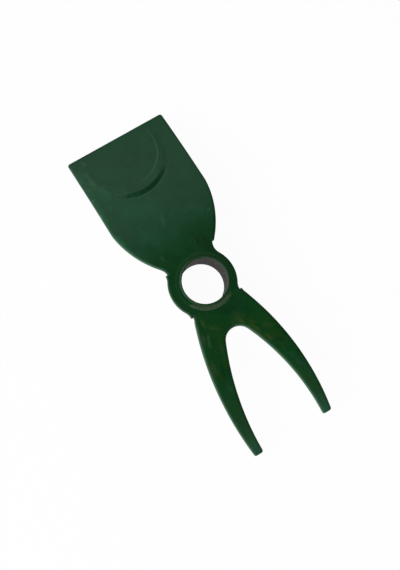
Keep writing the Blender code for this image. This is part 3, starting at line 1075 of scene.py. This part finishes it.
# %% Green paint
DARK_GREEN = (0.002, 0.0395, 0.0085)
LEAF_GREEN = (0.0034, 0.0435, 0.0076)
LOW_SHEEN_GREEN = (0.0022, 0.046, 0.0085)
TIP_SHEEN_GREEN = (0.008, 0.067, 0.03)
PALE_SHEEN_GREEN = (0.0046, 0.0495, 0.0178)
WALL_HIGHLIGHT_GREEN = (0.013, 0.083, 0.037)
GREY_MOTTLE = (0.007, 0.045, 0.018)
OLIVE = (0.012, 0.049, 0.006)
ORANGE = (0.024, 0.06, 0.0085)
RUST = (0.017, 0.049, 0.015)
CHIP = (0.06, 0.13, 0.09)
CREST_HIGHLIGHT = (0.023, 0.074, 0.037)

ON_BLADE, ON_FORK = (0.026, 0.05), (-0.012, -0.045)
LOW_ON_FORK, AT_TIPS = (-0.066, -0.084), (-0.112, -0.131)

paint, shader, place = new_finish("green_paint", DARK_GREEN, 0.27)
along_tool = along_axis(place, Y_AXIS)
on_blade, on_fork, low_on_fork, at_tips = (
    map_range(along_tool, *ends) for ends in (ON_BLADE, ON_FORK, LOW_ON_FORK, AT_TIPS)
)
upper_face = attribute_of(place, "upper")
wall = attribute_of(place, "side_wall")

# The paler greens on the blade, the lower fork and the tips are painted sheen, for the light that these bowed
# faces catch.
colour = layered(DARK_GREEN, [
    (on_blade, PALE_SHEEN_GREEN), (on_fork, LEAF_GREEN), (low_on_fork, LOW_SHEEN_GREEN), (at_tips, TIP_SHEEN_GREEN)
])
cloud = patches(place, 0.028, 0.3, 0.7, 0.93, 1.07, False)
mottle = patches(place, 0.007, 0.3, 0.7, 0.92, 1.08, False)
uneven = vector_maths("SCALE", colour)
put_all(uneven, {"Scale": times(cloud, mottle)})
colour = uneven.outputs["Vector"]
grey = times(patches(place, 0.005, 0.45, 0.65, 0.0, 0.35, turn=1.0), on_blade)
olive = patches(place, 0.01, 0.5, 0.64, 0.0, 0.6, turn=2.0)
olive = times(times(olive, rest_of(low_on_fork)), on_fork)
colour = layered(colour, [(grey, GREY_MOTTLE), (olive, OLIVE)])
print("Ground colours take", len(paint.node_tree.nodes), "nodes")

# %% [markdown]
# ## Smears, wear and scratches
# Each smear has a colour and a strength, and then, in mm, X and Y of the two places it runs between and a
# half width. All are on the face that was handled. The face behind has only stains that a noise places. Dust
# and rust are dull, so where they lie the paint loses some of its gloss. Not all smears are marks on the
# paint: the pale teal and hazy ones are painted sheen and highlight, and the dark green, darkest and dark
# teal ones are painted shade.

# %% Smears
DARKEST_SHADE = (0.0034, 0.0265, 0.007)
DARK_TEAL_SHADE = (0.0012, 0.03, 0.0072)
FOOT_SHADE = (0.0034, 0.035, 0.0098)
BROWN = (0.016, 0.028, 0.0095)
LEAF_LIGHT = (0.004, 0.048, 0.0064)
TEAL_SHEEN = (0.006, 0.076, 0.029)
SOFT_SHEEN = (0.01, 0.064, 0.028)
BRIGHT_SHEEN = (0.014, 0.076, 0.035)
PINK = (0.03, 0.052, 0.022)
PALE_WEAR = (0.024, 0.072, 0.027)
TAN = (0.021, 0.08, 0.031)
DULL_TINTS = (OLIVE, ORANGE, RUST, PINK, TAN)
# The pale teal smears over the blade's left half, along its left rim and at a tine tip, and the hazy ones,
# are painted sheen and highlight. The dark ones at the blade's root, the boss and the upper tines are painted
# shade, where the paint mirrors the dark board.
SMEARS = [
    (TEAL_SHEEN, 0.35, -25.5, 81.9, 0.2, 65.6, 18.0),
    (TEAL_SHEEN, 0.75, -33.9, 107.9, -29.3, 91.7, 8.0),
    (TEAL_SHEEN, 0.85, -37.3, 124.6, -38.8, 107.0, 6.0),
    (TEAL_SHEEN, 0.9, -38.2, 113.4, -41.1, 64.1, 2.8),
    (TEAL_SHEEN, 0.9, -41.0, 66.0, -37.0, 50.0, 2.8),
    (TEAL_SHEEN, 0.1, -9.0, 33.5, -4.0, 28.0, 5.0),
    (TEAL_SHEEN, 0.6, 31.5, -126.0, 32.5, -131.0, 3.0),
    (TEAL_SHEEN, 0.35, -24.8, 56.7, -17.0, 46.5, 7.0),
    (BRIGHT_SHEEN, 0.6, -1.6, 61.1, -4.6, 51.9, 3.0),
    (TAN, 0.8, -31.9, 129.2, -29.7, 124.9, 2.6),
    (TAN, 0.9, -35.6, 115.5, -33.2, 103.2, 3.6),
    (TAN, 0.2, 6.9, 58.9, 34.8, 51.7, 5.0),
    (TAN, 0.95, -39.0, 115.0, -39.0, 106.0, 2.8),
    (SOFT_SHEEN, 0.5, -7.0, 73.5, -2.5, 68.0, 5.0),
    (DARK_GREEN, 0.95, 9.0, 40.0, 28.0, 36.0, 13.0),
    (DARKEST_SHADE, 0.75, 11.3, 33.8, 18.0, 18.9, 8.5),
    (DARKEST_SHADE, 1.0, 18.0, 18.3, 23.4, -5.0, 8.0),
    (DARK_GREEN, 0.8, -12.3, -16.2, 20.9, -40.7, 7.5),
    (DARK_TEAL_SHADE, 1.0, -4.0, -25.5, 14.0, -31.0, 7.5),
    (LEAF_LIGHT, 0.6, -21.8, -16.8, -15.8, -27.0, 5.0),
    (LEAF_LIGHT, 0.6, -14.2, -22.2, 2.0, -33.5, 5.0),
    (BROWN, 0.9, 21.8, -1.3, 17.4, -13.3, 1.9),
    (RUST, 0.7, 19.8, -6.9, 19.2, -9.0, 1.0),
    (OLIVE, 0.6, 6.1, -31.1, 10.7, -38.3, 4.5),
    (OLIVE, 0.8, 3.9, -33.8, 6.9, -37.7, 2.6),
    (ORANGE, 0.9, 6.2, -37.7, 9.3, -42.6, 2.2),
    (OLIVE, 0.7, 12.0, -43.8, 17.0, -46.0, 3.0),
    (OLIVE, 0.9, 19.7, -51.4, 27.3, -54.3, 3.2),
    (OLIVE, 0.9, 10.0, -46.6, 18.4, -60.9, 2.6),
    (ORANGE, 0.8, 13.0, -46.6, 17.8, -54.9, 1.7),
    (ORANGE, 0.9, 18.7, -57.5, 20.6, -64.7, 2.2),
    (DARK_TEAL_SHADE, 0.7, 23.4, -65.0, 30.4, -69.7, 3.0),
    (DARK_TEAL_SHADE, 0.9, 31.0, -58.0, 33.8, -71.7, 2.4),
    (SOFT_SHEEN, 0.5, 24.6, -74.0, 25.6, -78.0, 2.8),
    (SOFT_SHEEN, 0.5, 28.1, -80.0, 29.8, -84.5, 3.2),
    (SOFT_SHEEN, 0.5, 28.6, -88.3, 31.0, -91.5, 3.2),
    (ORANGE, 0.9, -18.2, -25.7, -19.0, -30.0, 2.0),
    (OLIVE, 0.8, -16.1, -31.7, -8.9, -38.1, 2.6),
    (OLIVE, 0.7, -14.9, -46.4, -17.6, -55.3, 2.4),
    (DARK_TEAL_SHADE, 0.6, -18.4, -39.1, -18.9, -45.8, 3.2),
    (DARK_TEAL_SHADE, 0.6, -21.5, -57.3, -25.2, -70.8, 3.6),
    (PINK, 0.9, -22.7, -33.1, -25.8, -41.7, 1.6),
    (PALE_WEAR, 0.9, -19.6, -34.9, -23.4, -45.8, 1.9),
    (RUST, 0.9, -28.1, -53.5, -29.3, -65.2, 2.3),
    (PINK, 0.4, -29.2, -51.0, -33.9, -77.7, 1.0),
    (SOFT_SHEEN, 0.5, -27.0, -76.6, -25.5, -81.0, 3.2),
    (SOFT_SHEEN, 0.15, -32.5, -83.7, -30.6, -88.6, 2.6),
    (PALE_WEAR, 0.5, -35.7, -107.6, -35.3, -125.1, 0.7),
    (CHIP, 0.8, -39.5, 118.7, -39.8, 116.2, 0.7),
    (CHIP, 0.8, -40.6, 98.1, -40.7, 95.6, 0.7),
    (CHIP, 0.9, -41.5, 83.8, -42.1, 81.4, 0.7),
    (CHIP, 0.8, -41.1, 74.8, -41.1, 72.6, 0.7),
    (CHIP, 0.25, 40.0, 118.7, 39.9, 117.1, 0.6),
    (CHIP, 0.25, 40.6, 90.6, 40.6, 89.3, 0.6),
    (PALE_WEAR, 0.8, -19.1, 31.7, -19.0, 28.8, 2.1),
    (PALE_WEAR, 0.8, 31.6, 46.7, 31.8, 45.7, 1.2),
    (PALE_WEAR, 0.6, 27.8, 48.4, 28.0, 47.6, 0.7),
    (PALE_WEAR, 0.4, 40.6, 105.1, 40.4, 103.7, 0.8),
    (PALE_WEAR, 0.9, -34.8, -103.4, -34.9, -105.7, 0.7),
    (ORANGE, 0.5, 33.8, 94.3, 33.9, 93.3, 1.0),
    (ORANGE, 0.6, 34.0, 66.7, 33.8, 65.5, 1.2),
    (ORANGE, 0.6, 29.4, 112.0, 29.3, 110.6, 1.0),
    (ORANGE, 0.4, 25.8, 94.5, 25.8, 93.3, 1.0),
    (PALE_WEAR, 0.6, 7.8, 36.4, 6.3, 28.2, 0.5),
    (PALE_WEAR, 0.6, 10.4, 34.0, 7.2, 22.8, 0.5),
    (PALE_WEAR, 0.6, 15.4, 31.9, 13.5, 24.0, 0.5),
    (PALE_WEAR, 0.8, 32.8, -96.0, 34.6, -99.5, 0.45),
    (PALE_WEAR, 0.6, 31.0, -117.0, 32.1, -122.0, 0.45),
]
edge_noise = patches(place, 0.004, 0.25, 0.75, -0.35, 0.35, False, detail=4.0)
dull = 0.0
for tint, strength, *ellipse in SMEARS:
    share = times(times(smear(place, edge_noise, *ellipse), strength), upper_face)
    colour = layered(colour, [(share, tint)])
    if tint in DULL_TINTS:
        dull = maths("MAXIMUM", dull, share)
print("Marks laid over the paint:", len(SMEARS))

# %% Face behind, rim and side wall
BOSS_WALL, RIM_CHIPS = (0.031, 0.022), (0.72, 1.0)
FOOT_SHADE_SHARE, CREST_SHARE = 0.95, 0.8
stain = patches(place, 0.012, 0.5, 0.68, 0.0, 0.7, detail=4.0, turn=0.5)
stain = times(stain, rest_of(upper_face))
# Painted shade on the bitten wall's foot, and a painted highlight on the crest and brink.
at_foot = times(attribute_of(place, "foot"), FOOT_SHADE_SHARE)
at_crest = times(attribute_of(place, "crest"), CREST_SHARE)
at_boss = map_range(maths("ABSOLUTE", along_tool), *BOSS_WALL, 0.0, 0.8)
chipped = patches(place, 0.0016, 0.6, 0.7, 0.0, 0.5)
chipped = times(chipped, map_range(attribute_of(place, "rim"), *RIM_CHIPS))
# The side wall's paler green is a painted highlight for the light it catches, kept dark round the boss.
wall_highlight_colour = layered(WALL_HIGHLIGHT_GREEN, [(at_boss, DARK_GREEN)])
colour = layered(colour, [
    (stain, RUST), (at_foot, FOOT_SHADE), (at_crest, CREST_HIGHLIGHT), (wall, wall_highlight_colour), (chipped, CHIP)
])

roughness = patches(place, 0.012, 0.3, 0.7, 0.24, 0.31, False)
for share, amount in ((dull, 0.12), (stain, 0.2), (wall, 0.4)):
    roughness = maths("ADD", roughness, times(share, amount))
put_all(shader, {"Base Color": colour, "Roughness": roughness})
streaks = times(noise_of(place, 0.0008, stretch=(1.0, 1.0, 0.04)), wall)
bump(shader, [
    (noise_of(place, 0.009), 0.00005),
    (noise_of(place, 0.0025, 1.0), 0.000006),
    (streaks, 0.00006),
])
give_finish(plate, paint)

# %% [markdown]
# ## Painted weld
# The paint went over the welds too, so they share its green. Where the seen one was left coarse, on the side
# of the fork, handling has rubbed it to a dull grey-olive. Faint rusty rings are left by the grinding. A
# noise along one dimension only, the distance from the eye's axis, gives those.


# %% Weld finish
def distance_from_axis(place):
    flat = vector_maths("MULTIPLY", place, (1.0, 1.0, 0.0)).outputs["Vector"]
    return vector_maths("LENGTH", flat).outputs["Value"]


def rings(place, size):
    """A noise that changes only with the distance from the eye's axis."""
    texture = add_node(place, "ShaderNodeTexNoise", noise_dimensions="1D")
    put_all(texture, {"W": distance_from_axis(place), "Scale": 1.0 / size, "Detail": 2.0})
    return texture.outputs["Fac"]


WORN_WELD = (0.04, 0.072, 0.035)
UNDER_WELD = (0.004, 0.03, 0.008)
RING_RUST = (0.028, 0.034, 0.013)
WELD_ROUGHNESS, WORN_ROUGHNESS, WELD_SPECULAR = 0.28, 0.6, 0.32
WELD_TOP, WORN_FROM = (0.024, 0.0244), (0.0128, 0.0185)
RUSTY_WAY, RUSTY_REACH = Vector((0.7, 0.7, 0.0)), (-0.002, 0.014)

weld, shader, place = new_finish("painted_weld", DARK_GREEN, WELD_ROUGHNESS)
on_top = map_range(along_axis(place, Z_AXIS), *WELD_TOP)
uneven = patches(place, 0.005, 0.25, 0.75, -0.005, 0.005, False)
worn = map_range(maths("ADD", along_axis(place, COARSE_WAY), uneven), *WORN_FROM)
worn = times(worn, patches(place, 0.0016, 0.3, 0.6, 0.45, 1.0))
worn = times(worn, on_top)
rusty_side = map_range(along_axis(place, RUSTY_WAY), *RUSTY_REACH, 0.1, 1.0)
ring_lines = times(map_range(rings(place, 0.0007), 0.5, 0.68), rusty_side)
valleys = times(patches(place, 0.003, 0.5, 0.7, 0.0, 0.6), rest_of(on_top))
colour = layered(UNDER_WELD, [
    (on_top, DARK_GREEN), (times(ring_lines, on_top), RING_RUST), (valleys, RUST), (worn, WORN_WELD)
])
roughness = map_range(worn, 0.0, 1.0, WELD_ROUGHNESS, WORN_ROUGHNESS, False)
put_all(shader, {"Base Color": colour, "Roughness": roughness, "Specular IOR Level": WELD_SPECULAR})
bump(shader, [
    (noise_of(place, 0.002), 0.00004),
    (rings(place, 0.0009), 0.00001),
])
give_finish(upper_weld, weld)
give_finish(lower_weld, weld)

# %% [markdown]
# ## The tube's finish
# Paint covers the tube's mouth and its outside. Inside the bore it was scraped off by handles, and bare steel
# is left, dull and brown-grey. Its colour is darkened towards the lower end and on one side, a painted shade
# for the light that the deep bore and that side don't get.
# Height and distance from the axis tell the shader which of the two it is, with a noise so that the border
# between them is ragged.

# %% Bare steel
STEEL = (0.04, 0.037, 0.036)
STEEL_SHADE = (0.018, 0.015, 0.014)
STEEL_RUST = (0.03, 0.017, 0.011)
SHADED_WAY, SHADED_REACH = Vector((0.8, -0.6, 0.0)), (0.006, 0.018)
BORE_EDGE, MOUTH_EDGE, DEPTHS = (0.0178, 0.018), (0.025, 0.0253), (0.024, 0.002)
BARE, PAINTED = (0.75, 0.4), (0.3, 0.0)

steel, shader, place = new_finish("bare_steel", STEEL, *BARE)
height = along_axis(place, Z_AXIS)
ragged = patches(place, 0.0018, 0.25, 0.75, -0.0004, 0.0004, False)
outside = map_range(maths("ADD", distance_from_axis(place), ragged), *BORE_EDGE)
at_mouth = map_range(maths("ADD", height, ragged), *MOUTH_EDGE)
painted = maths("MAXIMUM", outside, at_mouth)
# Painted shade: the steel is darker down the bore and on one side.
bore_depth_shade = map_range(height, *DEPTHS, 0.0, 0.8, False)
shaded_side = map_range(along_axis(place, SHADED_WAY), *SHADED_REACH, 0.0, 0.6)
rusty = patches(place, 0.004, 0.48, 0.68, 0.0, 0.7, detail=4.0)
ring_lines = map_range(rings(place, 0.0006), 0.5, 0.66, 0.0, 0.3)
over_steel = layered(DARK_GREEN, [(ring_lines, OLIVE)])
colour = layered(STEEL, [
    (bore_depth_shade, STEEL_SHADE), (shaded_side, STEEL_SHADE), (rusty, STEEL_RUST), (painted, over_steel)
])
roughness, metallic = (map_range(painted, 0.0, 1.0, *ends, False) for ends in zip(BARE, PAINTED))
put_all(shader, {"Base Color": colour, "Roughness": roughness, "Metallic": metallic})
bump(shader, [(noise_of(place, 0.0015, 3.0), 0.00004)])
give_finish(collar, steel)
